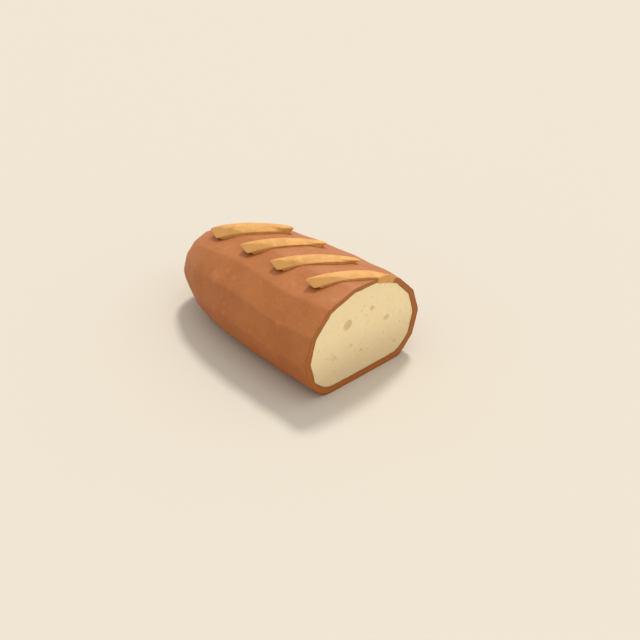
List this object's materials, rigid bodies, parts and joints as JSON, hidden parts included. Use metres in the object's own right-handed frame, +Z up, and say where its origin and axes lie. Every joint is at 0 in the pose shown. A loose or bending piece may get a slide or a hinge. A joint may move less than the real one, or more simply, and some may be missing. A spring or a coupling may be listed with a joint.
{
  "type": "scored bread loaf",
  "caption": "Free-form white bread loaf with raised golden scores across the top, cut flat at one end to show the crumb.",
  "frame": {"origin": "on the flat base the loaf rests on, under the middle of its length and width", "axes": "+X along the loaf towards the cut face, +Y across it, +Z up"},
  "size_m": [0.2126, 0.1299, 0.0896],
  "materials": {
    "crust": "baked brown crust, semi-matt",
    "burst": "golden torn crust on the scores, matt",
    "crumb": "soft open white crumb, matt"
  },
  "bodies": {
    "root": {"loaf": "crust"}
  },
  "joints": []
}
